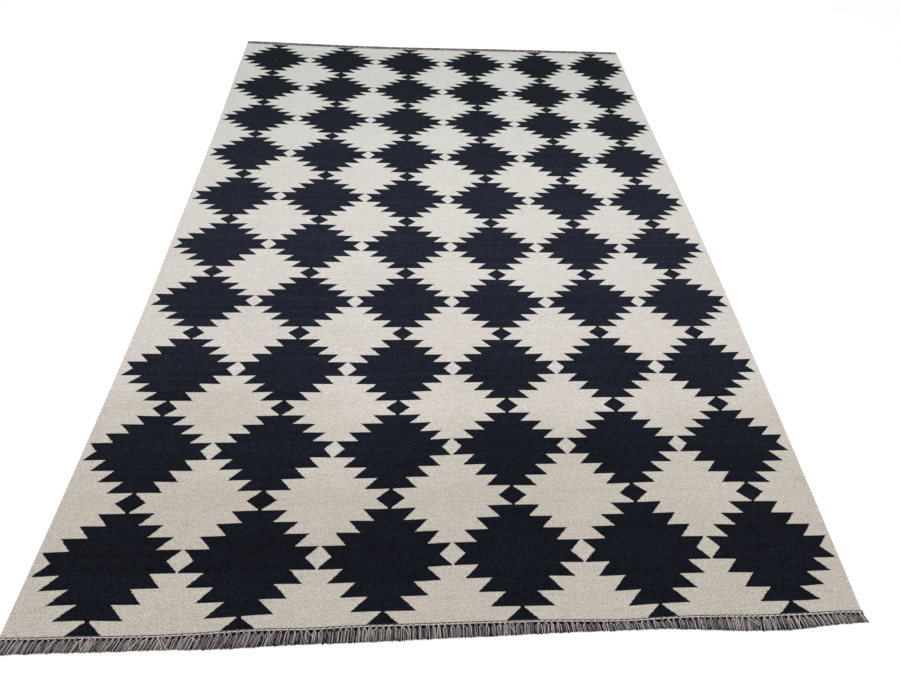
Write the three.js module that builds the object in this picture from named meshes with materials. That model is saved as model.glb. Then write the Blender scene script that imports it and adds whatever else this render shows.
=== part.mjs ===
// A flat-woven kilim rug laid out on a floor: the woven field, and a knotted fringe along each end.
// Millimetres, +Z up. The near end is the one toward -Y, and the long sides run along Y.
// The origin lies on the floor, under the middle of the whole rug.
import * as THREE from "three";

// The woven field
const WIDTH = 1823; // from selvedge to selvedge
const LENGTH = 2738; // from the first weft to the last, without the fringes
const THICKNESS = 4; // a firm, weft-faced wool weave
const EDGE_ROUND = 1.2; // the weft turns round the outermost warps, so no edge is square
const EDGE_STEPS = 2;
const SIDE_STATIONS = 28; // points along each long side
const END_STATIONS = 60; // points along each end

// The fringe: a twined cord along the end, and the bunches of warp yarn tied against it
const LOCKS = 143; // bunches along one end
const PIECE_GAP = 0.3; // between the field's end and the cord
const CORD = { width: 4, topWidth: 3, height: 3.4 };
const ROOT_WIDTH = 5; // where a bunch leaves the cord
const KNOT = { out: 6, width: 6, height: 4.4 }; // where it is tied, measured from the field's end
const OPEN = { out: 10, height: 3.8 }; // where it has opened to its full width
const TIP_HEIGHT = 2.4;
const LOCK_GAP = 1; // between neighbouring bunches, from where they are open to their tips
const CORNER_BUNCHES = 4; // at each corner of the rug, whose roots stray less and less
const LOCK_TOP_SHARE = 0.72; // a bunch is narrower on top than on the floor
const REACH_SPREAD = 0.8; // on top of the slow changes in the table of the near end
const ROOT_SPREAD = 3.2; // how far a root strays along the end on top of the drift in the same table
const LEAN_SPREAD = 2.2; // how far a tip strays along the end on top of its bunch's lean

// How the rug has settled on the floor. Each row is a line across the rug at that y, and gives how far
// the cloth lies sideways (+X) and lengthways (+Y) of the straight rectangle at four places across it.
const ACROSS = [-1, -1 / 3, 1 / 3, 1]; // in half widths
const SETTLED = [
  { y: -1369, sideways: [-13, -14, -10, -6], lengthways: [0, -4, -7, -14] },
  { y: -1080, sideways: [-4, -2, -6, -2], lengthways: [8, 5, 7, 1] },
  { y: -540, sideways: [5, 11, 4, 2], lengthways: [8, 1, 2, 8] },
  { y: 0, sideways: [2, 11, 5, 0], lengthways: [3, -1, -4, 5] },
  { y: 540, sideways: [-4, -1, 2, -8], lengthways: [3, 5, 1, 4] },
  { y: 1080, sideways: [-18, -12, 7, -17], lengthways: [-11, -12, -5, -2] },
  { y: 1369, sideways: [-24, -13, 10, -21], lengthways: [-8, -18, 0, 14] },
];
const MIDDLE = { x: -11, y: 0 }; // the middle of the settled outline, which the origin lies under

// The near end, at places across the rug: how far the wave in it carries it out, how far the mean tip
// of the fringe reaches from there, how far a bunch leans toward +X for each millimetre out, and how far
// the roots have drifted toward +X from even spacing.
const NEAR_END = [
  { x: -912, out: 0, reach: 32.5, lean: -0.25, drift: 0 },
  { x: -840, out: 1.5, reach: 31, lean: -0.25, drift: -9 },
  { x: -760, out: 2, reach: 31, lean: -0.25, drift: -10 },
  { x: -640, out: 4, reach: 29, lean: -0.25, drift: -14 },
  { x: -560, out: 3.5, reach: 30.5, lean: -0.3, drift: -25 },
  { x: -480, out: 0.5, reach: 34, lean: -0.3, drift: -35 },
  { x: -400, out: -2, reach: 35.5, lean: -0.2, drift: -33 },
  { x: -300, out: -0.5, reach: 32.5, lean: -0.1, drift: -33 },
  { x: -200, out: -2.5, reach: 34, lean: 0, drift: -30 },
  { x: -80, out: -2, reach: 32.5, lean: 0, drift: -27 },
  { x: 80, out: -2, reach: 30.5, lean: 0.05, drift: -27 },
  { x: 200, out: -1, reach: 28, lean: -0.05, drift: -19 },
  { x: 280, out: 1, reach: 25, lean: 0.15, drift: -12 },
  { x: 360, out: 3, reach: 22, lean: 0.25, drift: -3 },
  { x: 440, out: 1, reach: 24, lean: 0.15, drift: 7 },
  { x: 520, out: -1, reach: 29, lean: 0, drift: 12 },
  { x: 600, out: -0.5, reach: 32, lean: 0.05, drift: 11 },
  { x: 680, out: 1, reach: 33, lean: -0.1, drift: 10 },
  { x: 740, out: 0, reach: 34, lean: 0.1, drift: 12 },
  { x: 800, out: -1, reach: 30, lean: 0.25, drift: 14 },
  { x: 850, out: -3, reach: 27.5, lean: 0.25, drift: 7 },
  { x: 912, out: -2.5, reach: 24, lean: 0.3, drift: 1 },
];
const WAVE_FADES = 140; // how far into the cloth the wave dies away
const FAR_REACH = 33; // the photo hides the far fringe, so its bunches keep one length and stand straight

// A smooth curve through values at rising stations: a cubic between each two of them,
// whose slope at a station is that of the line through its neighbours.
function smooth(stations, values, t) {
  const last = stations.length - 1;
  let i = 0;
  while (i < last - 1 && t > stations[i + 1]) i++;
  const slope = (k) => {
    const before = Math.max(k - 1, 0);
    const after = Math.min(k + 1, last);
    return (values[after] - values[before]) / (stations[after] - stations[before]);
  };
  const span = stations[i + 1] - stations[i];
  const s = (t - stations[i]) / span;
  const rise = s * s * (3 - 2 * s);
  const leave = s * (1 - s) * (1 - s) * span * slope(i);
  const arrive = s * s * (s - 1) * span * slope(i + 1);
  return values[i] * (1 - rise) + values[i + 1] * rise + leave + arrive;
}

// A value of the near end's table at a place across the rug.
function nearEnd(what, x) {
  const stations = NEAR_END.map((place) => place.x);
  const values = NEAR_END.map((place) => place[what]);
  return smooth(stations, values, THREE.MathUtils.clamp(x, stations[0], stations.at(-1)));
}

// Where a point of the straight rectangle lies on the floor.
function settled(x, y) {
  const stations = SETTLED.map((row) => row.y);
  const shift = (way) => {
    const along = SETTLED.map((row) => smooth(ACROSS, row[way], (2 * x) / WIDTH));
    return smooth(stations, along, y);
  };
  const wave = nearEnd("out", x) * (1 - THREE.MathUtils.smoothstep(y + LENGTH / 2, 0, WAVE_FADES));
  return new THREE.Vector2(x + shift("sideways"), y + shift("lengthways") - wave);
}

// The field: the settled outline, walked once round, as a slab with rounded edges and a flat underside.
function fieldGeometry() {
  const corners = [
    { x: -1, y: -1, stations: END_STATIONS },
    { x: 1, y: -1, stations: SIDE_STATIONS },
    { x: 1, y: 1, stations: END_STATIONS },
    { x: -1, y: 1, stations: SIDE_STATIONS },
  ];
  const outline = [];
  corners.forEach((from, i) => {
    const to = corners[(i + 1) % corners.length];
    for (let k = 0; k < from.stations; k++) {
      const s = k / from.stations;
      const x = THREE.MathUtils.lerp(from.x, to.x, s);
      const y = THREE.MathUtils.lerp(from.y, to.y, s);
      outline.push(settled((x * WIDTH) / 2, (y * LENGTH) / 2));
    }
  });
  const slab = new THREE.ExtrudeGeometry(new THREE.Shape(outline), {
    depth: THICKNESS - 2 * EDGE_ROUND,
    bevelEnabled: true,
    bevelThickness: EDGE_ROUND,
    bevelSize: EDGE_ROUND,
    bevelOffset: -EDGE_ROUND,
    bevelSegments: EDGE_STEPS,
  });
  return slab.translate(0, 0, EDGE_ROUND);
}

// A place beside one end of the field. The end is walked with the outside of the rug on the right hand:
// walked runs from -WIDTH / 2 to WIDTH / 2 along it, out is the distance off the end, aside is a step
// along the end from there, and up is the height. end is -1 at the near end and 1 at the far one.
function besideEnd(end, walked, aside, out, up) {
  const step = 1;
  const at = (w) => settled(-end * w, (end * LENGTH) / 2);
  const forward = at(walked + step).sub(at(walked - step)).normalize();
  const outward = new THREE.Vector2(forward.y, -forward.x);
  const place = at(walked).addScaledVector(forward, aside).addScaledVector(outward, out);
  return new THREE.Vector3(place.x, place.y, up);
}

// An uneven value between -1 and 1 for the k-th bunch: a slow wave with a quick one on it.
const uneven = (k, phase) => 0.6 * Math.sin(0.31 * k + phase) + 0.4 * Math.sin(1.7 * k + 2.3 * phase);

// The fringe of one end, as one closed surface of four-cornered sections joined by quads: the cord is
// walked from side to side, and each bunch grows out of the cord's outer face between two of its sections.
function fringeGeometry(end) {
  const corners = 4;
  const outerFace = 2; // the side of the cord between its third and fourth corners
  const pitch = WIDTH / LOCKS;
  const phase = { root: end + 5, lean: end, reach: end + 3 };
  const points = [];
  const faces = [];
  const addSection = (places) => places.map((place) => points.push(place) - 1);
  const quad = (a, b, c, d) => faces.push(a, b, c, a, c, d);
  const join = (from, to, openSide) => {
    for (let k = 0; k < corners; k++) {
      const next = (k + 1) % corners;
      if (k !== openSide) quad(from[k], from[next], to[next], to[k]);
    }
  };

  const cordSection = (walked) => {
    const inner = PIECE_GAP;
    const outer = inner + CORD.width;
    const bevel = (CORD.width - CORD.topWidth) / 2;
    return addSection([
      besideEnd(end, walked, 0, inner, 0),
      besideEnd(end, walked, 0, inner + bevel, CORD.height),
      besideEnd(end, walked, 0, outer - bevel, CORD.height),
      besideEnd(end, walked, 0, outer, 0),
    ]);
  };
  const lockSection = (walked, out, left, right, height) => {
    const shoulder = ((1 - LOCK_TOP_SHARE) * (right - left)) / 2;
    return addSection([
      besideEnd(end, walked, left, out, 0),
      besideEnd(end, walked, right, out, 0),
      besideEnd(end, walked, right - shoulder, out, height),
      besideEnd(end, walked, left + shoulder, out, height),
    ]);
  };
  const near = end < 0;
  const rootAt = (k) => {
    const even = (k + 0.5) * pitch - WIDTH / 2;
    const drift = near ? nearEnd("drift", even) : 0;
    const fromCorner = Math.min(k, LOCKS - 1 - k);
    const loose = THREE.MathUtils.clamp(fromCorner / CORNER_BUNCHES, 0, 1);
    return even + drift + loose * ROOT_SPREAD * uneven(k, phase.root);
  };
  const reachAt = (k) => {
    const mean = near ? nearEnd("reach", rootAt(k)) : FAR_REACH;
    return mean + REACH_SPREAD * uneven(k, phase.reach);
  };
  const tipAt = (k) => {
    const lean = near ? nearEnd("lean", rootAt(k)) * reachAt(k) : 0;
    return rootAt(k) + lean + LEAN_SPREAD * uneven(k, phase.lean);
  };
  const openAt = (k) => {
    const share = (OPEN.out - KNOT.out) / (reachAt(k) - KNOT.out);
    return THREE.MathUtils.lerp(rootAt(k), tipAt(k), share);
  };
  const fullWidth = (k, placeAt, out, height) => {
    const left = (placeAt(k - 1) + placeAt(k)) / 2 + LOCK_GAP / 2;
    const right = (placeAt(k) + placeAt(k + 1)) / 2 - LOCK_GAP / 2;
    return lockSection(rootAt(k), out, left - rootAt(k), right - rootAt(k), height);
  };

  let cord = cordSection(-WIDTH / 2);
  quad(...[...cord].reverse());
  for (let k = 0; k < LOCKS; k++) {
    const walked = rootAt(k);
    const start = cordSection(walked - ROOT_WIDTH / 2);
    const finish = cordSection(walked + ROOT_WIDTH / 2);
    join(cord, start);
    join(start, finish, outerFace);
    cord = finish;

    const root = [start[3], finish[3], finish[2], start[2]];
    const knot = lockSection(walked, KNOT.out, -KNOT.width / 2, KNOT.width / 2, KNOT.height);
    const open = fullWidth(k, openAt, OPEN.out, OPEN.height);
    const tip = fullWidth(k, tipAt, reachAt(k), TIP_HEIGHT);
    join(root, knot);
    join(knot, open);
    join(open, tip);
    quad(...tip);
  }
  const last = cordSection(WIDTH / 2);
  join(cord, last);
  quad(...last);

  const geometry = new THREE.BufferGeometry().setFromPoints(points);
  geometry.setIndex(faces);
  geometry.computeVertexNormals();
  return geometry;
}

const wool = new THREE.MeshStandardMaterial({ color: 0xcdc5b9, roughness: 0.95, metalness: 0 });
const warpYarn = new THREE.MeshStandardMaterial({ color: 0x6d6966, roughness: 0.95, metalness: 0 });

function piece(name, geometry, material) {
  const mesh = new THREE.Mesh(geometry, material);
  mesh.name = name;
  return mesh;
}

const rug = new THREE.Group();
rug.add(piece("field", fieldGeometry(), wool));
rug.add(piece("fringe_near", fringeGeometry(-1), warpYarn));
rug.add(piece("fringe_far", fringeGeometry(1), warpYarn));
rug.position.set(-MIDDLE.x, -MIDDLE.y, 0);

export default rug;
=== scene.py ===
"""A flat-woven kilim rug on a pale floor: the woven field, and at each end a twined cord with its fringe.

The cloth is worked out in woven coordinates, millimetres on the straight rectangle that left the loom,
and then laid on the floor the way it has settled. Blender's own units are metres.
"""

import bpy
import numpy as np
from mathutils import Matrix


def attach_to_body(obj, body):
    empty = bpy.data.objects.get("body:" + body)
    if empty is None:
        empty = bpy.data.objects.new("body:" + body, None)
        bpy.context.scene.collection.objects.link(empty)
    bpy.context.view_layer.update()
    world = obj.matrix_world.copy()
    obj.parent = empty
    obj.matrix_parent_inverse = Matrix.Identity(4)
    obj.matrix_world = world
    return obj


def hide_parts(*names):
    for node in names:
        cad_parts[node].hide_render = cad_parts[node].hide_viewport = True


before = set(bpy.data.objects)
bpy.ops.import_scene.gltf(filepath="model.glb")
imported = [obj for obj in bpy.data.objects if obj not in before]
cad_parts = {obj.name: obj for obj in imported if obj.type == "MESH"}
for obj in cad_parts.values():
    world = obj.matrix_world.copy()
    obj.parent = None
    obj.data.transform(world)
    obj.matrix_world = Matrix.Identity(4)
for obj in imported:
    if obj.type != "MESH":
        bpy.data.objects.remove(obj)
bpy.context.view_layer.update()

MM = 0.001

# The woven field, as in the part's source
WIDTH = 1823  # from selvedge to selvedge
LENGTH = 2738  # from the first weft to the last
THICKNESS = 4
ACROSS = np.array([-1, -1 / 3, 1 / 3, 1])  # in half widths
SETTLED = [  # how far the cloth lies sideways and lengthways of the straight rectangle
    {"y": -1369, "sideways": [-13, -14, -10, -6], "lengthways": [0, -4, -7, -14]},
    {"y": -1080, "sideways": [-4, -2, -6, -2], "lengthways": [8, 5, 7, 1]},
    {"y": -540, "sideways": [5, 11, 4, 2], "lengthways": [8, 1, 2, 8]},
    {"y": 0, "sideways": [2, 11, 5, 0], "lengthways": [3, -1, -4, 5]},
    {"y": 540, "sideways": [-4, -1, 2, -8], "lengthways": [3, 5, 1, 4]},
    {"y": 1080, "sideways": [-18, -12, 7, -17], "lengthways": [-11, -12, -5, -2]},
    {"y": 1369, "sideways": [-24, -13, 10, -21], "lengthways": [-8, -18, 0, 14]},
]
MIDDLE_X = -11  # the middle of the settled outline, which the origin lies under

# The fringe, as in the part's source
BUNCHES = 143
PITCH = WIDTH / BUNCHES
REACH_SPREAD = 0.8
ROOT_SPREAD = 3.2
LEAN_SPREAD = 2.2
CORNER_BUNCHES = 4
BUNCH_GAP = 1
KNOT_OUT = 6  # where a bunch is tied
OPEN_OUT = 10  # where it has opened to its full width
FAR_REACH = 33  # from the field's end to the mean tip
NEAR_END = {  # at places across the rug: the end's wave outward, the fringe's reach, its lean and its drift
    "x": [-912, -840, -760, -640, -560, -480, -400, -300, -200, -80, 80]
    + [200, 280, 360, 440, 520, 600, 680, 740, 800, 850, 912],
    "out": [0, 1.5, 2, 4, 3.5, 0.5, -2, -0.5, -2.5, -2, -2]
    + [-1, 1, 3, 1, -1, -0.5, 1, 0, -1, -3, -2.5],
    "reach": [32.5, 31, 31, 29, 30.5, 34, 35.5, 32.5, 34, 32.5, 30.5]
    + [28, 25, 22, 24, 29, 32, 33, 34, 30, 27.5, 24],
    "lean": [-0.25, -0.25, -0.25, -0.25, -0.3, -0.3, -0.2, -0.1, 0, 0, 0.05]
    + [-0.05, 0.15, 0.25, 0.15, 0, 0.05, -0.1, 0.1, 0.25, 0.25, 0.3],
    "drift": [0, -9, -10, -14, -25, -35, -33, -33, -30, -27, -27]
    + [-19, -12, -3, 7, 12, 11, 10, 12, 14, 7, 1],
}
WAVE_FADES = 140  # how far into the cloth the wave dies away

# The pattern
MOTIFS_ACROSS = 6
ROWS = 10
MOTIF_WIDTH = 301
ROW_HEIGHT = 270  # of the eight inner rows
END_ROW_HEIGHT = 289
BANDS = 10  # of each motif, from one half diamond to the next
BANDS_TO_A_TENTH = 0.948  # of a row, since the middle and the outermost bands are lower than the others
MIDDLE_LACKS = 0.13  # of a band, on each side of a motif's middle line
WAIST = 121.7  # half the black's width at the middle line
END_WAIST_LESS = 3.6  # in the end rows
BAND_STEP = 28.7  # how much narrower than the band inside it each band begins
TOOTH = 29  # how much a band widens outward
MIDDLE_TOOTH_LESS = 1.8  # in the middle band
END_TOOTH_MORE = 2.5  # in the outer half of an end row
LAST_TOOTH_MORE = 4  # and there in the band before the small diamond
SMALL_DIAMOND = 1.8  # half its width where its band begins; it lies on the line between two rows
SMALL_SLOPE = 35  # how much half its width grows in a band
END_SLOPE_MORE = 4  # in the end rows and just inside them
SMALL_TIP = 4.5  # the least half width of its tip
WIDEST = 148  # half the black's width, which keeps a thin ivory line between two columns
# How far each half row's line was woven off its place, from the near end to the far one
LINES = [0, 2, -3, 4, -2, -0.5, 1.5, 1, -4, -1, -1.5, -3, -2.5, 5, 2.5, -0.5, -4, 0, -1.5, -1.5, -10]
# How far the middle of each column was woven to the right, at lines across the rug
COLUMNS = [
    {"y": -1369, "right": [2.5, 8, 4, 2.5, 6, 5]},
    {"y": -1225, "right": [0, -1, 0, 1.5, 4.5, 0.5]},
    {"y": -945, "right": [-1.5, -3, 0.5, -2, 0.5, -6]},
    {"y": -540, "right": [3, 0, 2, 0.5, 2.5, -1]},
    {"y": 0, "right": [1, -3, 1.5, 0.5, 1.5, -5.5]},
    {"y": 405, "right": [2.5, -2, -1, -2, 1, -5]},
    {"y": 900, "right": [-1.5, 0.5, -0.5, -4, 1.5, 1]},
    {"y": 1225, "right": [-4, 2, 0.5, -5.5, 3, 5]},
]

# The cloth
WARP_PITCH = PITCH / 5
WEFT_PITCH = 1.2
GRID_SPAN = 13  # between the grid's lines away from the edges
EDGE_LINES = np.array([0, 0.15, 0.5, 1, 1.6, 2.3, 3.1, 4, 5, 6, 7.2, 9, 13, 20, 30])
SIDE_ROUND = 2.2  # how far in from a long side the cloth reaches its thickness
END_ROUND = 1.6
RIDGE_IN, RIDGE_HALF = 2.4, 1.5  # the selvedge's thicker edge: its middle and half its width
GROOVE_IN, GROOVE_HALF = 5.4, 1.1
SELVEDGE_RELIEF = 0.3
FLAT_BORDER = 90  # how far in the cloth lies flat on the floor
STEADY_BORDER = 60  # how far in the weave's waves reach their full size
MIDDLE_RIDES = 0.7  # the mean height of the cloth's middle over where it would lie flat

rng = np.random.default_rng(12)


def smooth(stations, values, t):
    """A cubic between each two stations, whose slope at a station is that of the line through its neighbours.

    values has one row per station, and the result one row per t."""
    last = len(stations) - 1
    k = np.arange(last + 1)
    before, after = np.maximum(k - 1, 0), np.minimum(k + 1, last)
    slope = (values[after] - values[before]) / (stations[after] - stations[before])[:, None]
    i = np.clip(np.searchsorted(stations, t, side="right") - 1, 0, last - 1)
    span = (stations[i + 1] - stations[i])[:, None]
    s = (t - stations[i])[:, None] / span
    rise = s * s * (3 - 2 * s)
    leave = s * (1 - s) ** 2 * span * slope[i]
    arrive = s * s * (s - 1) * span * slope[i + 1]
    return values[i] * (1 - rise) + values[i + 1] * rise + leave + arrive


def near_end(what, x):
    """A value of the near end's table at a place across the rug."""
    stations = np.array(NEAR_END["x"], float)
    values = np.array(NEAR_END[what], float)[:, None]
    places = np.clip(np.ravel(x), stations[0], stations[-1])
    return smooth(stations, values, places)[:, 0].reshape(np.shape(x))


def ease(t):
    """Rises from 0 to 1 as t does, flat at both ends."""
    t = np.clip(t, 0, 1)
    return t * t * (3 - 2 * t)


def settled(x, y):
    """Where a woven point lies on the floor: each woven coordinate plus a shift smoothed both ways, and
    the near end's wave."""
    x, y = np.broadcast_arrays(np.asarray(x, float), np.asarray(y, float))
    shape = x.shape
    x, y = x.ravel(), y.ravel()
    stations = np.array([row["y"] for row in SETTLED], float)
    along = smooth(stations, np.eye(len(stations)), y)
    across = smooth(ACROSS, np.eye(len(ACROSS)), 2 * x / WIDTH)
    sideways = along @ np.array([row["sideways"] for row in SETTLED], float)
    lengthways = along @ np.array([row["lengthways"] for row in SETTLED], float)
    on_x = x + (sideways * across).sum(1) - MIDDLE_X
    on_y = y + (lengthways * across).sum(1) - near_end("out", x) * (1 - ease((y + LENGTH / 2) / WAVE_FADES))
    return on_x.reshape(shape), on_y.reshape(shape)


def beside_end(end, walked, aside, out, up):
    """A place beside one end of the field, in millimetres.

    The end is walked with the outside of the rug on the right hand. The place is aside along the end
    from the point walked to, then out from it at a right angle, and up from the floor. end is -1 near
    and 1 far."""
    behind = np.stack(settled(-end * (walked - 1), end * LENGTH / 2), -1)
    ahead = np.stack(settled(-end * (walked + 1), end * LENGTH / 2), -1)
    forward = (ahead - behind) / np.linalg.norm(ahead - behind, axis=-1, keepdims=True)
    outward = np.stack([forward[..., 1], -forward[..., 0]], -1)
    here = np.stack(settled(-end * walked, end * LENGTH / 2), -1)
    plan = here + forward * np.asarray(aside)[..., None] + outward * np.asarray(out)[..., None]
    up = np.broadcast_to(up, plan.shape[:-1])
    return np.concatenate([plan, up[..., None]], -1)


def uneven(k, phase):
    """A value between -1 and 1 for the k-th bunch: a slow wave with a quick one on it."""
    return 0.6 * np.sin(0.31 * k + phase) + 0.4 * np.sin(1.7 * k + 2.3 * phase)


def new_piece(name, points, quads, triangles, material, point_values=None, corner_uv=None):
    """A smooth-shaded mesh object at the origin, from points in millimetres.

    point_values are named attributes with one row per point, and corner_uv has one row per face corner,
    the quads' corners first."""
    mesh = bpy.data.meshes.new(name)
    mesh.from_pydata((points * MM).tolist(), [], quads.tolist() + triangles.tolist())
    mesh.polygons.foreach_set("use_smooth", np.ones(len(mesh.polygons), bool))
    for key, values in (point_values or {}).items():
        vector = values.ndim == 2
        attribute = mesh.attributes.new(key, "FLOAT_VECTOR" if vector else "FLOAT", "POINT")
        attribute.data.foreach_set("vector" if vector else "value", values.astype(np.float32).ravel())
    if corner_uv is not None:
        layer = mesh.uv_layers.new(name="yarn")
        layer.data.foreach_set("uv", corner_uv.astype(np.float32).ravel())
    mesh.materials.append(material)
    mesh.update()
    piece = bpy.data.objects.new(name, mesh)
    bpy.context.scene.collection.objects.link(piece)
    return piece


# The woven field


def stations_in(half):
    """Places from -half to half: close together at the edges, where the cloth rounds off, wide between."""
    edge = EDGE_LINES[:-1]
    inner = half - EDGE_LINES[-1]
    spans = int(round(2 * inner / GRID_SPAN))
    return np.concatenate([-half + edge, np.linspace(-inner, inner, spans + 1), (half - edge)[::-1]])


def edge_round(distance, radius):
    """0 at an edge and 1 past the radius, as a quarter circle rises between them."""
    return np.sqrt(1 - (1 - np.clip(distance / radius, 0, 1)) ** 2)


def lie(x, y):
    """How high the cloth's middle rides over the floor for its own unevenness, 0 to about 1.4."""
    waves = (
        0.5 * np.sin(x / 97 + 0.8 * np.sin(y / 260)) * np.sin(y / 151 + 1.1)
        + 0.3 * np.sin(x / 211 - y / 190 + 2.0)
        + 0.2 * np.sin(x / 61 + 1.3) * np.sin(y / 83 - 0.4)
    )
    return MIDDLE_RIDES + MIDDLE_RIDES * waves


def woven_coordinates(x, y):
    """The warp and weft a point lies on, in millimetres: its place in the rectangle, plus the weaver's
    unevenness, which is a few slow waves and the shifts of the half rows and of the columns."""
    inner = ROW_HEIGHT * np.linspace(1 - ROWS / 2, ROWS / 2 - 1, 2 * ROWS - 3)
    middle = inner[-1] + END_ROW_HEIGHT / 2
    lines = np.concatenate([[-LENGTH / 2, -middle], inner, [middle, LENGTH / 2]])
    columns = MOTIF_WIDTH * (np.arange(MOTIFS_ACROSS) + 0.5 - MOTIFS_ACROSS / 2)
    down = np.interp(y, lines, LINES)
    at_rows = np.stack([np.interp(x, columns, row["right"]) for row in COLUMNS])
    stations = np.array([row["y"] for row in COLUMNS], float)
    share = smooth(stations, np.eye(len(COLUMNS)), np.clip(y.ravel(), stations[0], stations[-1]))
    right = (share * at_rows.reshape(len(COLUMNS), -1).T).sum(1).reshape(x.shape)
    inside = edge_round(np.minimum(WIDTH / 2 - abs(x), LENGTH / 2 - abs(y)), STEADY_BORDER)
    weft_wave = (
        1.1 * np.sin(x / 73 + y / 410)
        + 0.9 * np.sin(x / 141 - y / 95 + 2)
        + 0.6 * np.sin(x / 33 + y / 61)
    )
    warp_wave = 1.0 * np.sin(y / 87 + x / 350 + 1) + 0.7 * np.sin(y / 39 - x / 120)
    return x - right + inside * warp_wave, y - down + inside * weft_wave


def woven_field(material):
    """One closed sheet. Both faces are the settled plan of one grid, half the thickness above and below
    the cloth's middle, and the thickness rounds off to nothing at the border, where the faces meet.
    Along each long side the outermost warps make a slightly thicker edge with a groove inside it."""
    across, along = stations_in(WIDTH / 2), stations_in(LENGTH / 2)
    x, y = np.meshgrid(across, along, indexing="ij")
    from_side, from_end = WIDTH / 2 - abs(x), LENGTH / 2 - abs(y)
    ridge = np.exp(-(((from_side - RIDGE_IN) / RIDGE_HALF) ** 2))
    groove = np.exp(-(((from_side - GROOVE_IN) / GROOVE_HALF) ** 2))
    selvedge = SELVEDGE_RELIEF * ridge - SELVEDGE_RELIEF * groove
    half = (THICKNESS / 2 + selvedge) * edge_round(from_side, SIDE_ROUND) * edge_round(from_end, END_ROUND)
    off_border = ease(np.minimum(from_side, from_end) / FLAT_BORDER)
    middle = THICKNESS / 2 + off_border * lie(x, y)
    plan_x, plan_y = settled(x, y)
    top = np.stack([plan_x, plan_y, middle + half], -1).reshape(-1, 3)
    under = np.stack([plan_x, plan_y, middle - half], -1).reshape(-1, 3)

    count = x.size
    grid = np.arange(count).reshape(x.shape)
    inner = np.zeros(x.shape, bool)
    inner[1:-1, 1:-1] = True
    under_grid = grid.copy()
    under_grid[inner] = count + np.arange(inner.sum())

    def quads_of(g):
        return np.stack([g[:-1, :-1], g[1:, :-1], g[1:, 1:], g[:-1, 1:]], -1).reshape(-1, 4)

    quads = np.concatenate([quads_of(grid), quads_of(under_grid)[:, ::-1]])
    keep = inner.ravel()
    warp, weft = woven_coordinates(x, y)
    woven = np.stack([warp, weft, from_end], -1).reshape(-1, 3)
    return new_piece(
        "woven_field",
        np.concatenate([top, under[keep]]),
        quads,
        np.zeros((0, 3), int),
        material,
        point_values={"woven": np.concatenate([woven, woven[keep]])},
    )


# Yarns


TUBE_CLOSES = 0.6  # how far past its last ring a tube's end point lies, in radii


def tubes(paths, radii, sides):
    """Closed tubes along paths. paths is tubes by points by 3, and radii tubes by points.

    Each ring stands across its path, and a point past each end closes the tube. Gives points, quads,
    end triangles, and the corners' places: turns round the yarn and millimetres along it."""
    count, steps, _ = paths.shape
    tangent = np.gradient(paths, axis=1)
    tangent /= np.linalg.norm(tangent, axis=-1, keepdims=True)
    side = np.cross(tangent, [0, 0, 1.0])
    side /= np.linalg.norm(side, axis=-1, keepdims=True)
    above = np.cross(side, tangent)
    turn = 2 * np.pi * np.arange(sides) / sides
    ring = side[:, :, None] * np.cos(turn)[:, None] + above[:, :, None] * np.sin(turn)[:, None]
    rings = paths[:, :, None] + ring * radii[:, :, None, None]
    first = paths[:, 0] - tangent[:, 0] * radii[:, :1] * TUBE_CLOSES
    last = paths[:, -1] + tangent[:, -1] * radii[:, -1:] * TUBE_CLOSES
    points = np.concatenate([rings.reshape(count, -1, 3), first[:, None], last[:, None]], 1)

    per_tube = steps * sides + 2
    start = (np.arange(count) * per_tube)[:, None, None]
    i, j = np.meshgrid(np.arange(steps - 1), np.arange(sides), indexing="ij")
    j_after = (j + 1) % sides
    here, beyond = i * sides, (i + 1) * sides
    quad = np.stack([here + j, here + j_after, beyond + j_after, beyond + j], -1)
    quads = (start + quad.reshape(1, -1, 4)).reshape(-1, 4)
    k = np.arange(sides)
    after = (k + 1) % sides
    last_ring = (steps - 1) * sides
    first_point = np.full(sides, steps * sides)
    first_cap = np.stack([after, k, first_point], -1)
    last_cap = np.stack([k + last_ring, after + last_ring, first_point + 1], -1)
    cap = np.concatenate([first_cap, last_cap])
    triangles = (start + cap.reshape(1, -1, 3)).reshape(-1, 3)

    length = np.concatenate(
        [np.zeros((count, 1)), np.cumsum(np.linalg.norm(np.diff(paths, axis=1), axis=-1), 1)], 1
    )
    round_uv = np.stack([j, j + 1, j + 1, j], -1) / sides
    along_uv = np.stack([length[:, i], length[:, i], length[:, i + 1], length[:, i + 1]], -1)
    quad_uv = np.stack([np.broadcast_to(round_uv, along_uv.shape), along_uv], -1).reshape(-1, 2)
    cap_uv = np.zeros((count * sides * 2 * 3, 2))
    return points.reshape(-1, 3), quads, triangles, np.concatenate([quad_uv, cap_uv])


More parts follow.
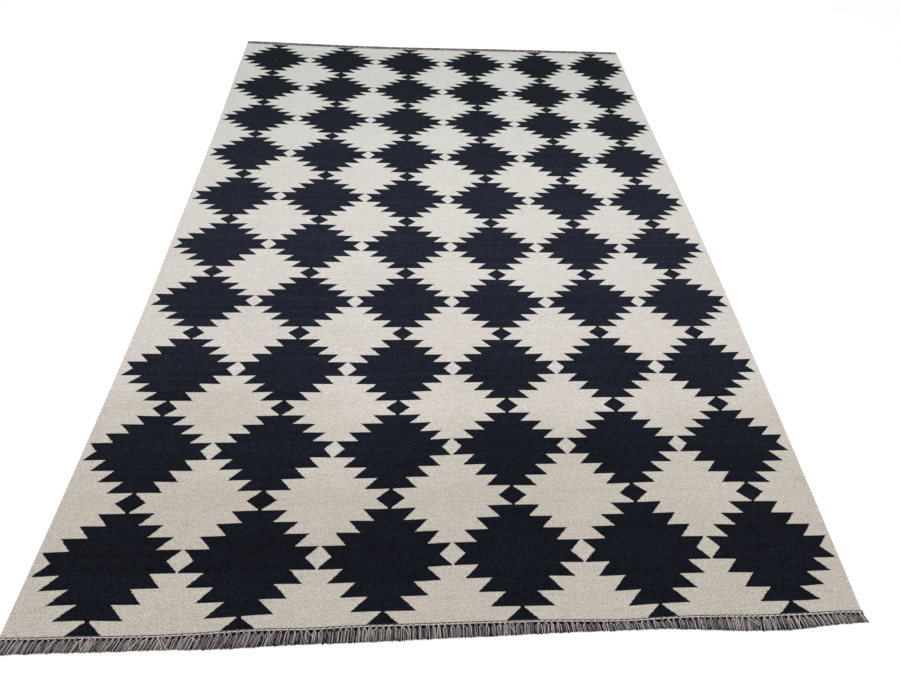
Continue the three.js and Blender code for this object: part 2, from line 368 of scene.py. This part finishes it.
def rings_of(paths, radius, sides):
    """Closed loops of yarn. paths is loops by points by 3, without the first point again at the end.
    Each cross-section stands across its loop, between the loop's outward side and its axis."""
    count, steps, _ = paths.shape
    tangent = np.roll(paths, -1, 1) - np.roll(paths, 1, 1)
    tangent /= np.linalg.norm(tangent, axis=-1, keepdims=True)
    outward = paths - paths.mean(1, keepdims=True)
    outward -= tangent * (outward * tangent).sum(-1, keepdims=True)
    outward /= np.linalg.norm(outward, axis=-1, keepdims=True)
    axis = np.cross(tangent, outward)
    turn = 2 * np.pi * np.arange(sides) / sides
    ring = outward[:, :, None] * np.cos(turn)[:, None] + axis[:, :, None] * np.sin(turn)[:, None]
    points = paths[:, :, None] + ring * radius
    start = (np.arange(count) * steps * sides)[:, None, None]
    i, j = np.meshgrid(np.arange(steps), np.arange(sides), indexing="ij")
    j_after = (j + 1) % sides
    here, beyond = i * sides, (i + 1) % steps * sides
    quad = np.stack([here + j, here + j_after, beyond + j_after, beyond + j], -1)
    quads = (start + quad.reshape(1, -1, 4)).reshape(-1, 4)
    step = np.linalg.norm(paths[:, 1] - paths[:, 0], axis=-1)[:, None, None]
    round_uv = np.stack([j, j + 1, j + 1, j], -1) / sides + np.zeros((count, 1, 1, 1))
    along_uv = np.stack([i, i, i + 1, i + 1], -1) * step[..., None]
    uv = np.stack([round_uv, along_uv + np.zeros_like(round_uv)], -1).reshape(-1, 2)
    return points.reshape(-1, 3), quads, uv


def bunch_shape(end):
    """How the bunches of one end stand, as the part's source has them: each one's root, its left and
    right edge where it is open and at the tip, and its reach."""
    k = np.arange(-1, BUNCHES + 1)
    near = end < 0
    root = (k + 0.5) * PITCH - WIDTH / 2
    loose = np.clip(np.minimum(k, BUNCHES - 1 - k) / CORNER_BUNCHES, 0, 1)
    root = root + (near_end("drift", root) if near else 0) + loose * ROOT_SPREAD * uneven(k, end + 5)
    reach = (near_end("reach", root) if near else FAR_REACH) + REACH_SPREAD * uneven(k, end + 3)
    tip = root + (near_end("lean", root) * reach if near else 0) + LEAN_SPREAD * uneven(k, end)
    opened = root + (tip - root) * (OPEN_OUT - KNOT_OUT) / (reach - KNOT_OUT)

    def edges(place):
        between = (place[:-1] + place[1:]) / 2
        return between[:-1] + BUNCH_GAP / 2, between[1:] - BUNCH_GAP / 2

    return root[1:-1], edges(opened), edges(tip), reach[1:-1]


def bunch_edges(end, out):
    """How far from its root's place along the end a bunch's left and right edge lie at a distance out."""
    root, opened, tips, reach = bunch_shape(end)
    root, reach = root[:, None, None], reach[:, None, None]
    from_open = np.clip((out - OPEN_OUT) / (reach - OPEN_OUT), 0, 1.1)
    return [
        at_open[:, None, None] * (1 - from_open) + at_tip[:, None, None] * from_open - root
        for at_open, at_tip in zip(opened, tips)
    ]


YARNS = 12  # in one bunch
YARN_RADIUS = 0.62
YARN_STEPS = 11
YARN_SIDES = 5
ROOT_OUT = 2.6  # where the yarns leave the twined cord
STEM_HALF = 1.6  # half the width that the yarns' middles keep there
STEM_OUT = 7.0  # where they begin to fan out
STEM_OPENS = 3.2  # how much further out they have
SHARE_SPREAD = 0.05  # the scatter of a yarn's place across its bunch, in half widths
OUT_OF_TURN = 0.1  # how many yarns break the turns of upper and lower ones
WANDER = 0.7  # the spread of a yarn's wander to its sides
UPPER_LAYER = 1.05  # how high an upper yarn lies on the lower ones at its root
OVER_DARK = 0.9  # how high the dark yarns hold the pale ones
LOOSE_TIP = 2.0  # how high the loosest tips stand


def across_bunch(end, out, share):
    """How far from its root's place along the end a yarn lies, where share is -1 at the bunch's left edge
    and 1 at its right one. A narrow stem runs from the cord past the knot, and fans out from there."""
    left, right = bunch_edges(end, out)
    fan = ease((out - STEM_OUT) / STEM_OPENS)
    left, right = -STEM_HALF * (1 - fan) + left * fan, STEM_HALF * (1 - fan) + right * fan
    return (left + right) / 2 + share * (right - left) / 2


def bunch_yarns(end):
    """The loose yarns of one end's bunches. Each leaves the cord inside a narrow stem, and past the knot
    drops toward the floor. Its place across the bunch eases from a shuffled place at the root to its own
    share of the full width, with a slow wander on it, and every second yarn lies on its neighbours."""
    root, _, _, reach = bunch_shape(end)
    shape = (BUNCHES, YARNS)
    s = np.linspace(0, 1, YARN_STEPS)
    rank = np.argsort(rng.random(shape), axis=1)
    share_at_root = (rank + 0.5) / YARNS * 2 - 1
    share_at_tip = (np.arange(YARNS) + 0.5) / YARNS * 2 - 1 + rng.normal(0, SHARE_SPREAD, shape)
    first_upper = rng.integers(0, 2, (BUNCHES, 1))
    out_of_turn = rng.random(shape) < OUT_OF_TURN
    upper = ((np.arange(YARNS) + first_upper + out_of_turn) % 2).astype(float)
    long = reach[:, None] + rng.normal(-0.3, 0.6, shape)
    near_root = s**1.4
    out = ROOT_OUT + (long - ROOT_OUT)[..., None] * near_root

    opening = ease((out - STEM_OUT) / STEM_OPENS)
    share = share_at_root[..., None] * (1 - opening) + share_at_tip[..., None] * opening
    bend = np.sin(np.pi * s * rng.uniform(0.8, 2.2, shape)[..., None])
    wander = rng.normal(0, WANDER, shape)[..., None] * bend * ease((out - STEM_OUT) / 8)
    aside = across_bunch(end, out, share) + wander

    hump = np.exp(-(((out - 5) / 3.0) ** 2))
    layer = upper[..., None] * (UPPER_LAYER - 0.4 * s)
    over_dark = OVER_DARK * (1 - s**5)
    height = YARN_RADIUS + over_dark + layer + hump * (0.6 + 0.6 * (1 - share**2))
    lifted = rng.random(shape)[..., None] ** 6 * LOOSE_TIP * s**2
    path = beside_end(end, root[:, None, None] + np.zeros_like(aside), aside, out, height + lifted)
    thick = YARN_RADIUS * rng.uniform(0.85, 1.15, shape)[..., None] * (1 - 0.3 * s**6)
    tones = np.argsort(rng.random((BUNCHES, YARNS // 4, 4)), axis=2).reshape(shape) / 3
    shade = 0.08 + 0.74 * tones + 0.12 * upper + rng.normal(0, 0.05, shape)
    return path.reshape(-1, YARN_STEPS, 3), thick.reshape(-1, YARN_STEPS), shade.ravel()


DARK_YARNS = 9  # to a bunch
DARK_STEPS = 7
DARK_SIDES = 4
DARK_START = -0.4  # inside the last wefts of the field
DARK_LOWEST = 0.75  # the least height of a dark yarn's middle
DARK_DROP = 1.2  # how much higher it leaves the field


def dark_yarns(end):
    """Dark yarns that come out of the field under the cord and lie flat on the floor under the bunches,
    side by side to the tips. By the field they stand for the bare warps and are browner; further out they are
    painted shade, near black, which darkens the gaps between the stems and the thin gaps between the pale
    yarns."""
    root, _, _, reach = bunch_shape(end)
    shape = (BUNCHES, DARK_YARNS)
    s = np.linspace(0, 1, DARK_STEPS) ** 2
    share = (np.arange(DARK_YARNS) + 0.5) / DARK_YARNS * 2 - 1 + rng.normal(0, SHARE_SPREAD, shape)
    long = reach[:, None] + rng.normal(-0.8, 0.9, shape)
    out = DARK_START + (long - DARK_START)[..., None] * s
    left, right = bunch_edges(end, out)
    room = right - left + BUNCH_GAP
    aside = (left + right) / 2 + share[..., None] * room / 2
    thick = np.clip(0.58 * room / DARK_YARNS, 0.7, 1.2)
    height = np.maximum(thick, DARK_LOWEST) + DARK_DROP * np.exp(-(((out - DARK_START) / 3.5) ** 2))
    path = beside_end(end, root[:, None, None] + np.zeros_like(aside), aside, out, height)
    # painted shade: near black past the cord, browner close to the field where the yarns stand for the bare
    # warps
    shade = rng.uniform(-0.35, 0.05, shape)[..., None] + 0.75 * (1 - ease((out - DARK_START) / 3))
    return path.reshape(-1, DARK_STEPS, 3), thick.reshape(-1, DARK_STEPS), shade.reshape(-1, DARK_STEPS)


STRAYS = 16  # at each end
STRAY_RADIUS = 0.5
STRAY_STEPS = 9
STRAY_OUT = 4.5  # where a stray begins
STRAY_HEIGHT = 3.9  # how high it lies there


def stray_yarns(end):
    """Single pale yarns that have worked loose and lie slantwise over the bunches."""
    walked = rng.uniform(-WIDTH / 2 + 30, WIDTH / 2 - 30, STRAYS)[:, None]
    slant = rng.uniform(-22, 22, STRAYS)[:, None]
    s = np.linspace(0, 1, STRAY_STEPS)
    out = STRAY_OUT + rng.uniform(12, 26, STRAYS)[:, None] * s
    aside = slant * s + rng.normal(0, 2.2, STRAYS)[:, None] * np.sin(np.pi * s)
    height = STRAY_HEIGHT + 0.9 * np.sin(np.pi * s) - 0.9 * s
    path = beside_end(end, walked + np.zeros_like(aside), aside, out, height)
    return path, np.full(path.shape[:-1], STRAY_RADIUS), rng.uniform(0.93, 1.0, STRAYS)


def joined(*meshes):
    """Several (points, quads, triangles, uv, shades) as one, with each one's numbers moved on."""
    start = 0
    points, quads, triangles, quad_uv, end_uv, shades = [], [], [], [], [], []
    for part_points, part_quads, part_triangles, uv, shade in meshes:
        points.append(part_points)
        quads.append(part_quads + start)
        triangles.append(part_triangles + start)
        corners = part_quads.size
        quad_uv.append(uv[:corners])
        end_uv.append(uv[corners:])
        shades.append(shade)
        start += len(part_points)
    return (
        np.concatenate(points),
        np.concatenate(quads),
        np.concatenate(triangles),
        np.concatenate(quad_uv + end_uv),
        np.concatenate(shades),
    )


def shaded_tubes(paths, radii, shade, sides):
    """Tubes with a shade for each yarn, or for each step along it."""
    points, quads, triangles, uv = tubes(paths, radii, sides)
    shade = np.broadcast_to(np.reshape(shade, (len(paths), -1)), paths.shape[:2])
    at_rings = np.repeat(shade, sides, axis=1)
    shades = np.concatenate([at_rings, shade[:, :1], shade[:, -1:]], 1).ravel()
    return points, quads, triangles, uv, shades


KNOT_STEPS = 12
KNOT_SIDES = 5
KNOT_YARN_RADIUS = 0.5
KNOT_MIDDLE = 2.4  # the height of its middle
KNOT_HALF_HEIGHT = 1.55


def knots(end):
    """A turn of pale yarn round the root of each bunch: an ellipse that stands across it, a little askew."""
    root, *_ = bunch_shape(end)
    turn = 2 * np.pi * np.arange(KNOT_STEPS) / KNOT_STEPS
    wide = rng.uniform(2.0, 2.3, BUNCHES)[:, None]
    askew = rng.normal(0, 0.4, BUNCHES)[:, None]
    aside = wide * np.cos(turn)
    height = KNOT_MIDDLE + KNOT_HALF_HEIGHT * np.sin(turn)
    out = KNOT_OUT + 0.3 + askew * np.cos(turn) + rng.normal(0, 0.25, BUNCHES)[:, None]
    paths = beside_end(end, root[:, None] + np.zeros_like(aside), aside, out, height)
    points, quads, uv = rings_of(paths, KNOT_YARN_RADIUS, KNOT_SIDES)
    shade = np.repeat(rng.uniform(0.7, 0.9, BUNCHES), len(points) // BUNCHES)
    return points, quads, np.zeros((0, 3), int), uv, shade


def fringe_yarns(name, end, material):
    """All of one end's bunches, with the strays, as one piece."""
    points, quads, triangles, uv, shade = joined(
        shaded_tubes(*bunch_yarns(end), YARN_SIDES),
        shaded_tubes(*stray_yarns(end), YARN_SIDES),
    )
    return new_piece(name, points, quads, triangles, material, {"shade": shade}, uv)


def fringe_shade_yarns(name, end, material):
    """All of one end's dark yarns, painted shade under the fringe, as one piece."""
    points, quads, triangles, uv, shade = shaded_tubes(*dark_yarns(end), DARK_SIDES)
    return new_piece(name, points, quads, triangles, material, {"shade": shade}, uv)


STRAND_RADIUS = 0.9
STRAND_STEPS = 12  # to a bunch
STRAND_SIDES = 8
CORD_OUT = 2.75  # where the cord's middle lies
CORD_HEIGHT = 2.1


def twined_cord(name, end, material):
    """Two strands twined along the end, and the knots beside them. Each strand turns once round the other
    in the span of two bunches, and painted shade makes it darker where it dives under than where it passes
    over."""
    steps = BUNCHES * STRAND_STEPS
    walked = np.linspace(-WIDTH / 2, WIDTH / 2, steps + 1)
    turn = np.pi * (walked + WIDTH / 2) / PITCH
    paths, radii, shades = [], [], []
    for strand in (0, np.pi):
        angle = turn + strand
        out = CORD_OUT + 0.6 * np.cos(angle) + 0.12 * np.sin(walked / 3.1 + strand)
        height = CORD_HEIGHT + 0.85 * np.sin(angle)
        paths.append(beside_end(end, walked, np.zeros_like(walked), out, height))
        radii.append(STRAND_RADIUS * (1 + 0.15 * np.sin(angle)) * (1 + 0.05 * np.sin(walked / 7.3)))
        # painted shade: darker where the strand dives under the other, paler where it lies on top
        shades.append(0.76 + 0.3 * np.sin(angle))
    cord = shaded_tubes(np.array(paths), np.array(radii), np.array(shades), STRAND_SIDES)
    points, quads, triangles, uv, shade = joined(cord, knots(end))
    return new_piece(name, points, quads, triangles, material, {"shade": shade}, uv)


# Materials


class Wire:
    """One socket of a material's nodes. Sums, products and the like of wires and numbers add Math nodes."""

    def __init__(self, tree, socket=None):
        self.tree = tree
        self.socket = socket

    def make(self, kind, settings=None, inputs=None, output=0):
        """A node of a type: its settings are set first, then the values or links of its sockets."""
        node = self.tree.nodes.new(kind)
        for key, value in (settings or {}).items():
            if key == "stops":
                elements = node.color_ramp.elements
                while len(elements) < len(value):
                    elements.new(1)
                for element, (place, colour) in zip(elements, value):
                    element.position = place
                    element.color = (*colour, 1)
            else:
                setattr(node, key, value)
        for key, value in (inputs or {}).items():
            if isinstance(value, Wire):
                self.tree.links.new(value.socket, node.inputs[key])
            else:
                node.inputs[key].default_value = value
        return Wire(self.tree, node.outputs[output])

    def math(self, operation, *others):
        return self.make("ShaderNodeMath", {"operation": operation}, dict(enumerate((self, *others))))

    def __add__(self, other):
        return self.math("ADD", other)

    def __sub__(self, other):
        return self.math("SUBTRACT", other)

    def __rsub__(self, other):
        return self.make("ShaderNodeMath", {"operation": "SUBTRACT"}, {0: other, 1: self})

    def __mul__(self, other):
        return self.math("MULTIPLY", other)

    def __truediv__(self, other):
        return self.math("DIVIDE", other)

    __radd__ = __add__
    __rmul__ = __mul__

    def below(self, other):
        return self.math("LESS_THAN", other)

    def above(self, other):
        return self.math("GREATER_THAN", other)

    def least(self, other):
        return self.math("MINIMUM", other)

    def most(self, other):
        return self.math("MAXIMUM", other)

    def abs(self):
        return self.math("ABSOLUTE")

    def floor(self):
        return self.math("FLOOR")

    def fract(self):
        return self.math("FRACT")

    def between(self, low, high):
        """0 at or under low, 1 at or over high, and straight between them."""
        inputs = {"Value": self, "From Min": low, "From Max": high}
        return self.make("ShaderNodeMapRange", {"clamp": True}, inputs)

    def ramp(self, by, stops):
        """The colour that a value has between stops, which are pairs of a place and a colour."""
        return self.make("ShaderNodeValToRGB", {"stops": stops}, {0: by})

    def choose(self, if_zero, if_one):
        """A mix of two colours, or of two values, by this one."""
        colour = isinstance(if_zero, tuple) or (isinstance(if_zero, Wire) and if_zero.socket.type != "VALUE")
        if not colour:
            return self.make("ShaderNodeMix", {"data_type": "FLOAT"}, {0: self, 2: if_zero, 3: if_one})
        inputs = {0: self, 6: opaque(if_zero), 7: opaque(if_one)}
        return self.make("ShaderNodeMix", {"data_type": "RGBA"}, inputs, output=2)

    def scaled(self, by):
        """This colour times a value."""
        return self.make("ShaderNodeVectorMath", {"operation": "SCALE"}, {0: self, "Scale": by})

    def at(self, x, y, z=0.0):
        """Three values as one place."""
        return self.make("ShaderNodeCombineXYZ", None, {0: x, 1: y, 2: z})

    def noise(self, x, y, detail=2.0, z=0.0):
        """Smooth noise, about 0.5, at a place given in its own grains."""
        inputs = {"Vector": self.at(x, y, z), "Scale": 1.0, "Detail": detail}
        return self.make("ShaderNodeTexNoise", {"noise_dimensions": "3D"}, inputs)

    def random(self, x, y, z=0.0):
        """Another value between 0 and 1 for each whole place."""
        return self.make("ShaderNodeTexWhiteNoise", {"noise_dimensions": "3D"}, {"Vector": self.at(x, y, z)})


def opaque(colour):
    """A colour with the full alpha that a socket takes, or a wire as it is."""
    return colour if isinstance(colour, Wire) else (*colour, 1)


def linear(red, green, blue):
    """A colour as a screen shows it, 0 to 255, as the linear one that a shader takes."""
    screen = np.array([red, green, blue]) / 255
    return tuple(np.where(screen <= 0.04045, screen / 12.92, ((screen + 0.055) / 1.055) ** 2.4).tolist())


def new_material(name, **constants):
    """A matt woollen surface: its own constants on the shader's sockets. Gives the material, its shader's
    inputs and a first wire."""
    material = bpy.data.materials.new(name)
    material.use_nodes = True
    shader = material.node_tree.nodes["Principled BSDF"]
    for key, value in constants.items():
        shader.inputs[key.replace("_", " ")].default_value = value
    return material, shader, Wire(material.node_tree)


def attach(wire, shader, socket):
    """Links a wire to one of the shader's sockets."""
    wire.tree.links.new(wire.socket, shader.inputs[socket])


IVORY_AND_PAINTED_LIGHT = [  # the ivory wool at places along the loom, from the near end to the far one: darker and warmer near, lightest in the middle, partly the wool's own tone and partly painted light
    (0.1, linear(189, 181, 171)),
    (0.24, linear(203, 197, 190)),
    (0.5, linear(204, 200, 194)),
    (0.93, linear(192, 193, 188)),
]
INK_AND_PAINTED_SHEEN = [  # and the black wool, lighter in the middle than at the ends: partly its own tone, partly a painted sheen
    (0.1, linear(14, 17, 26)),
    (0.3, linear(25, 29, 41)),
    (0.5, linear(28, 32, 45)),
    (0.93, linear(9, 17, 26)),
]
YARN_TONES = [  # the warp yarn, from its darkest ply to its palest
    (0.0, linear(12, 11, 14)),
    (0.3, linear(50, 47, 49)),
    (0.6, linear(128, 120, 119)),
    (0.8, linear(172, 162, 160)),
    (1.0, linear(222, 212, 210)),
]
RIB_RELIEF = 0.35  # the height of each kind of relief
PICK_RELIEF = 0.22
FIBRE_RELIEF = 0.25
STREAK_RELIEF = 0.2
PLY_RELIEF = 0.18
PLY_TURN = 2.2  # along a yarn, from one ply to the next
BARE_WARPS_AND_SHADE = 0.4  # how far in from the ends the warps show bare, with painted shade in the crevice before the cord
INK_BASE = 0.445  # the black wool's mean grain
INK_GAIN = 4.2


def field_material():
    """Weft-faced wool. Snapped to whole warps and wefts, the woven coordinates say which yarn shows:
    black inside the serrated diamonds, and ivory outside them."""
    material, shader, start = new_material("field_wool", Roughness=0.95, Specular_IOR_Level=0.1)
    woven = start.make("ShaderNodeAttribute", {"attribute_name": "woven"}, output="Vector")
    warp = woven.make("ShaderNodeSeparateXYZ", None, {0: woven}, output="X")
    weft = woven.make("ShaderNodeSeparateXYZ", None, {0: woven}, output="Y")
    from_end = woven.make("ShaderNodeSeparateXYZ", None, {0: woven}, output="Z")

    # Each warp is a rib, and its wefts lie half a step off its neighbours'
    rib = (warp / WARP_PITCH).floor()
    odd_rib = (rib / 2).fract() * 2
    pick = (weft / WEFT_PITCH + odd_rib * 0.5).floor()
    x = (rib + 0.5) * WARP_PITCH
    y = (pick - odd_rib * 0.5 + 0.5) * WEFT_PITCH

    # The motif: how far from its middle column, and how many bands from its middle line
    columns = (x / MOTIF_WIDTH + MOTIFS_ACROSS / 2).most(0).least(MOTIFS_ACROSS)
    in_motif = (columns.fract() - 0.5).abs() * MOTIF_WIDTH
    inner_half = ROW_HEIGHT * (ROWS / 2 - 1)
    far = y.abs()
    rows_out = far.least(inner_half) / ROW_HEIGHT + (far - inner_half).most(0) / END_ROW_HEIGHT
    row = rows_out.least(ROWS / 2) * y.math("SIGN") + ROWS / 2
    from_middle = (row.fract() * BANDS - BANDS / 2).abs() * BANDS_TO_A_TENTH + MIDDLE_LACKS
    band = from_middle.floor().least(BANDS / 2 - 1)
    up_band = from_middle - band
    middle_band = band.below(0.5)
    end_row = far.above(inner_half)
    outermost = far.above(inner_half + END_ROW_HEIGHT / 2)
    end_tooth = outermost * (END_TOOTH_MORE + band.above(BANDS / 2 - 2.5) * LAST_TOOTH_MORE)
    tooth = TOOTH - middle_band * MIDDLE_TOOTH_LESS + end_tooth
    end_waist = middle_band * end_row * (1 - up_band) * END_WAIST_LESS
    serrated = WAIST - band * BAND_STEP + up_band * tooth - end_waist
    by_end_row = far.above(inner_half - ROW_HEIGHT / BANDS)
    diamond = (up_band * (by_end_row * END_SLOPE_MORE + SMALL_SLOPE) + SMALL_DIAMOND).most(SMALL_TIP)
    hand = start.noise(x / 14, y / 14, 1.0) * 3 - 1.5 + start.random(rib, pick) * 1.4 - 0.7
    half_black = band.above(BANDS / 2 - 1.5).choose(serrated, diamond).least(WIDEST)
    black = in_motif.below(half_black + hand)

    # The tone of the wool: streaks along the wefts, slubs, single fibres, and slow changes along the loom;
    # the colour ramps along the loom also hold painted light
    streak = start.noise(warp / 42, weft / 3.1, 2.0) - 0.5
    lot = start.noise(warp / 900, weft / 16, 3.0) - 0.5
    broad = start.noise(warp / 420, weft / 150, 2.0, 7.0) - 0.5
    slub = start.noise(warp / 3.6, weft / 2.6, 2.0, 11.0) - 0.5
    fibre = start.noise(warp / 1.1, weft / 0.6, 2.0, 3.0) - 0.5
    bead = start.random(rib, pick, 5.0) - 0.5
    tone = 1 + streak * 0.3 + slub * 1.1 + lot * 0.15 + broad * 0.1 + fibre * 0.4 + bead * 0.36
    # along the loom the ivory ramp carries painted light and the black ramp a painted sheen, besides the
    # wool's own tone
    along_loom = weft / LENGTH + 0.5 + broad * 0.2
    ivory = start.ramp(along_loom, IVORY_AND_PAINTED_LIGHT).scaled(tone)
    grain = (streak * 0.2 + slub * 0.6 + lot * 0.35 + fibre * 0.9 + bead * 0.55 + INK_BASE).most(0)
    # the black ramp's lighter middle is partly a painted sheen
    ink = start.ramp(along_loom, INK_AND_PAINTED_SHEEN).scaled(grain * grain * INK_GAIN)

    # Flecks of darker wool in the ivory, lint on the black
    cell = start.at(warp / 22, weft / 12)
    spot = start.make("ShaderNodeTexVoronoi", None, {"Vector": cell, "Scale": 1.0}, output="Distance")
    cell_colour = start.make("ShaderNodeTexVoronoi", None, {"Vector": cell, "Scale": 1.0}, output="Color")
    kind = start.make("ShaderNodeSeparateColor", None, {0: cell_colour})
    fleck = (1 - spot.between(0.04, 0.12)) * kind.above(0.78)
    ivory = (fleck * 0.6).choose(ivory, linear(132, 114, 98))
    lint = (1 - spot.between(0.02, 0.07)) * kind.below(0.2)
    ink = (lint * 0.6).choose(ink, linear(96, 98, 106))
    wool = black.choose(ivory, ink)

    # Past the last weft the warps show bare, light and dark by turns; the dark ones are partly the warps' own
    # colour and partly painted shade in the crevice before the cord
    bare_and_shaded = from_end.below(BARE_WARPS_AND_SHADE)
    end_of_warp = start.random((warp / (PITCH / 10)).floor(), 0.0)
    warp_and_shade_colour = end_of_warp.between(0.2, 0.6).choose(linear(84, 74, 70), linear(186, 173, 162))
    attach(bare_and_shaded.choose(wool, warp_and_shade_colour), shader, "Base Color")

    # Relief: a rib over each warp, crossed by its wefts, and the fibres on them
    over_rib = (warp / WARP_PITCH).fract() * 2 - 1
    over_pick = (weft / WEFT_PITCH + odd_rib * 0.5).fract() * 2 - 1
    ribs = (1 - over_rib * over_rib) * RIB_RELIEF
    picks = (1 - over_pick * over_pick) * PICK_RELIEF
    relief = ribs + picks + fibre * FIBRE_RELIEF + streak * STREAK_RELIEF
    bump = start.make("ShaderNodeBump", None, {"Strength": 1.0, "Distance": MM, "Height": relief})
    attach(bump, shader, "Normal")
    return material


def yarn_material():
    """Twisted warp yarn. Each yarn's shade sets how much of it is pale; two plies wind round it, with painted
    shade in the grooves between them.
    """
    material, shader, start = new_material("warp_yarn", Roughness=0.95, Specular_IOR_Level=0.08)
    shade = start.make("ShaderNodeAttribute", {"attribute_name": "shade"}, output="Fac")
    place = start.make("ShaderNodeUVMap", {"uv_map": "yarn"}, output="UV")
    turns = place.make("ShaderNodeSeparateXYZ", None, {0: place}, output="X")
    along = place.make("ShaderNodeSeparateXYZ", None, {0: place}, output="Y")
    ply = (turns * 2 + along / PLY_TURN).fract()
    over_ply = ply * 2 - 1
    mottle = start.noise(along / 3, shade * 97, 2.0) - 0.5
    # the grooves between the plies are painted darker, as shade
    pale = (shade + mottle * 0.3 - over_ply.abs() * 0.1 + 0.05).between(0.0, 1.0)
    attach(start.ramp(pale, YARN_TONES), shader, "Base Color")
    relief = (1 - over_ply * over_ply) * PLY_RELIEF
    bump = start.make("ShaderNodeBump", None, {"Strength": 1.0, "Distance": MM, "Height": relief})
    attach(bump, shader, "Normal")
    return material


def floor_material():
    """The pale floor, one even colour."""
    material, shader, _ = new_material("pale_floor", Roughness=0.7, Specular_IOR_Level=0.2)
    shader.inputs["Base Color"].default_value = (*linear(250, 250, 250), 1)
    return material


# The rug

wool = field_material()
yarn = yarn_material()
field = woven_field(wool)
near_yarns = fringe_yarns("near_fringe_yarns", -1, yarn)
far_yarns = fringe_yarns("far_fringe_yarns", 1, yarn)
near_shade_yarns = fringe_shade_yarns("near_fringe_shade_yarns", -1, yarn)
far_shade_yarns = fringe_shade_yarns("far_fringe_shade_yarns", 1, yarn)
near_cord = twined_cord("near_twined_cord", -1, yarn)
far_cord = twined_cord("far_twined_cord", 1, yarn)
finishes = [near_yarns, far_yarns, near_shade_yarns, far_shade_yarns, near_cord, far_cord]

for piece in (field, *finishes):
    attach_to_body(piece, "root")
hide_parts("field")
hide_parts("fringe_near")
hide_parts("fringe_far")

# The floor, the light and the camera


FLOOR_HALF = 12000.0


def floor(material):
    """One large flat square at the height of the floor."""
    half = FLOOR_HALF
    corners = np.array([[-half, -half, 0], [half, -half, 0], [half, half, 0], [-half, half, 0]])
    return new_piece("floor", corners, np.array([[0, 1, 2, 3]]), np.zeros((0, 3), int), material)


def soft_light(name, place, aim, size, power, colour):
    """A round area light at a place, turned toward the point that it aims at."""
    lamp = bpy.data.lights.new(name, "AREA")
    lamp.shape = "DISK"
    lamp.size = size
    lamp.energy = power
    lamp.color = colour
    light = bpy.data.objects.new(name, lamp)
    bpy.context.scene.collection.objects.link(light)
    back = np.array(place, float) - np.array(aim, float)
    back /= np.linalg.norm(back)
    side = np.cross([0, 0, 1.0], back)
    side /= np.linalg.norm(side)
    axes = np.stack([side, np.cross(back, side), back], 1)
    light.matrix_world = Matrix.Translation(place) @ Matrix(axes.tolist()).to_4x4()


floor(floor_material())
soft_light(
    "overhead_light",
    place=(0.12, 0.2, 2.2),
    aim=(0.12, 0.25, 0),
    size=1.6,
    power=16,
    colour=(1, 1, 1),
)

world = bpy.data.worlds.new("studio")
world.use_nodes = True
world.node_tree.nodes["Background"].inputs["Color"].default_value = (1, 1, 1, 1)
world.node_tree.nodes["Background"].inputs["Strength"].default_value = 1.0
bpy.context.scene.world = world
bpy.context.scene.view_settings.view_transform = "Standard"

FOCAL_PIXELS = 650
IMAGE_WIDTH = 900
IMAGE_HEIGHT = 675
AXIS_COLUMN, AXIS_ROW = 485.5, 338  # where the camera's axis passes through the photo
SENSOR = 36
CAMERA_PLACE = (-0.0451, -1.853, 1.4382)
RIGHTWARD = (0.9965, -0.0574, 0.0613)  # the camera's own axes
UPWARD = (0.0015, 0.7417, 0.6708)
BACKWARD = (-0.084, -0.6683, 0.7391)
camera_data = bpy.data.cameras.new("photo_camera")
camera_data.sensor_width = SENSOR
camera_data.lens = SENSOR * FOCAL_PIXELS / IMAGE_WIDTH
camera_data.shift_x = (IMAGE_WIDTH / 2 - AXIS_COLUMN) / IMAGE_WIDTH
camera_data.shift_y = (AXIS_ROW - IMAGE_HEIGHT / 2) / IMAGE_WIDTH
camera = bpy.data.objects.new("photo_camera", camera_data)
bpy.context.scene.collection.objects.link(camera)
turned = Matrix((RIGHTWARD, UPWARD, BACKWARD)).transposed().to_4x4()
camera.matrix_world = Matrix.Translation(CAMERA_PLACE) @ turned
bpy.context.scene.camera = camera
